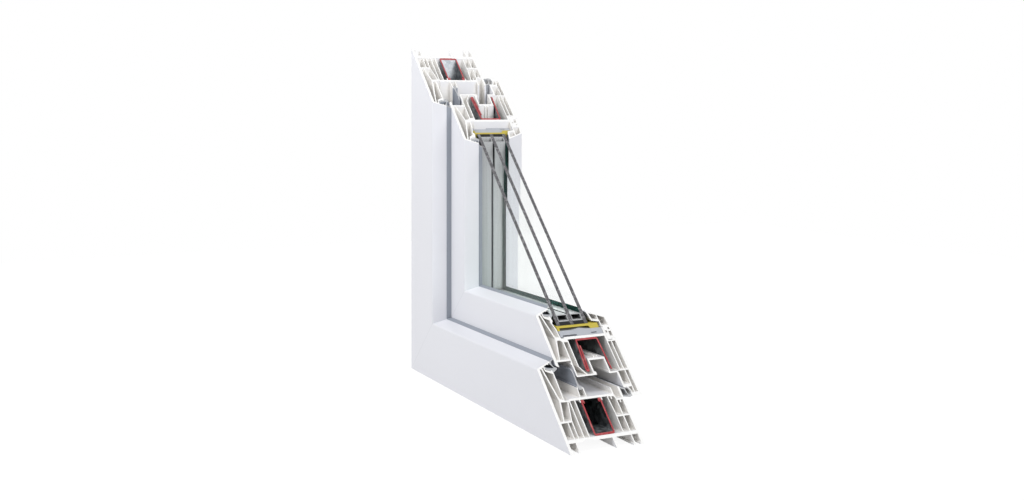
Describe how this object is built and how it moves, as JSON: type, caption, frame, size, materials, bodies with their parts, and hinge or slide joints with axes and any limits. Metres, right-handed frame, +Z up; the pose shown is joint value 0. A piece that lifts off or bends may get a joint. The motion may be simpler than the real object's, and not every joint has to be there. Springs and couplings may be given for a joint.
{
  "type": "window frame corner section",
  "caption": "Corner sample of a white plastic window, cut diagonally to show the chambered frame and sash, steel reinforcement, seals, packers and insulating glazing.",
  "frame": {"origin": "middle of the base of the overall box, on the floor", "axes": "+X along the sill from the corner to the saw cut, +Y from the weather side to the room side, +Z up along the jamb"},
  "size_m": [0.4, 0.104, 0.4],
  "materials": {
    "pvc": "extruded white window plastic, satin gloss",
    "steel": "galvanised, cut ends painted red",
    "seal": "extruded grey rubber",
    "glass": "clear float glass",
    "spacer": "satin grey spacer bar",
    "sealant": "black edge sealant",
    "packer": "moulded yellow plastic",
    "bridge": "moulded grey plastic"
  },
  "bodies": {
    "root": {"frame_sill": "pvc", "frame_jamb": "pvc", "sash_rail": "pvc", "sash_stile": "pvc", "bead_bottom": "pvc", "bead_side": "pvc", "frame_steel_bottom": "steel", "frame_steel_side": "steel", "sash_steel_bottom": "steel", "sash_steel_side": "steel", "frame_seal": "seal", "middle_seal": "seal", "overlap_seal": "seal", "glazing_seal_outer": "seal", "glazing_seal_inner": "seal", "glass_outer": "glass", "glass_middle": "glass", "glass_inner": "glass", "spacer_outer": "spacer", "spacer_inner": "spacer", "edge_sealant_outer": "sealant", "edge_sealant_inner": "sealant", "packer_bottom": "packer", "packer_side": "packer", "bridge_bottom": "bridge", "bridge_side": "bridge"}
  },
  "joints": []
}
